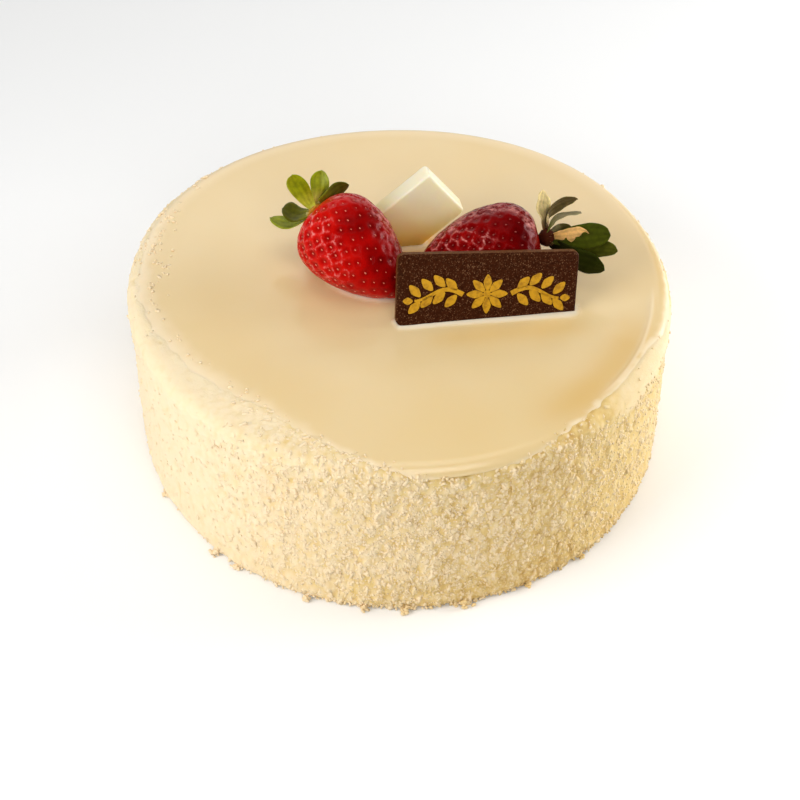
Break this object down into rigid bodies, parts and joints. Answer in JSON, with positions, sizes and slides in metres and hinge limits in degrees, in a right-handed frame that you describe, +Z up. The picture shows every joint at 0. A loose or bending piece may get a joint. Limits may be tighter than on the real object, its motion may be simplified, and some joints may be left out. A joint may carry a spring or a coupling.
{
  "type": "strawberry cake",
  "caption": "Round uncut cake under poured cream icing, its side coated with grated white chocolate, topped with whole strawberries, a white chocolate block and a dark chocolate plaque.",
  "frame": {"origin": "middle of the flat underside, where the cake rests", "axes": "+Z up; -Y towards the front, where the plaque faces; +X to the right as seen from the front"},
  "size_m": [0.2058, 0.198, 0.1087],
  "materials": {
    "coating": "finely grated white chocolate, matte and crumbly",
    "icing": "poured cream icing, smooth with a soft sheen",
    "strawberry": "fresh strawberry skin, wet and glossy, with pale seeds in dimples",
    "fresh_leaf": "fresh green leaf, veined, with a slight sheen",
    "dried_leaf": "withered leaf, dark green turning grey and tan",
    "white_chocolate": "cast white chocolate, satin, slightly see-through at its edges",
    "dark_chocolate": "cast dark chocolate, satin, with fine pale specks",
    "yellow_ornament": "printed yellow cocoa butter"
  },
  "bodies": {
    "root": {"cake": "coating", "icing": "icing", "strawberry_left": "strawberry", "leaves_left": "fresh_leaf", "strawberry_right": "strawberry", "leaves_right": "dried_leaf", "white_block": "white_chocolate", "plaque": "dark_chocolate"}
  },
  "joints": []
}
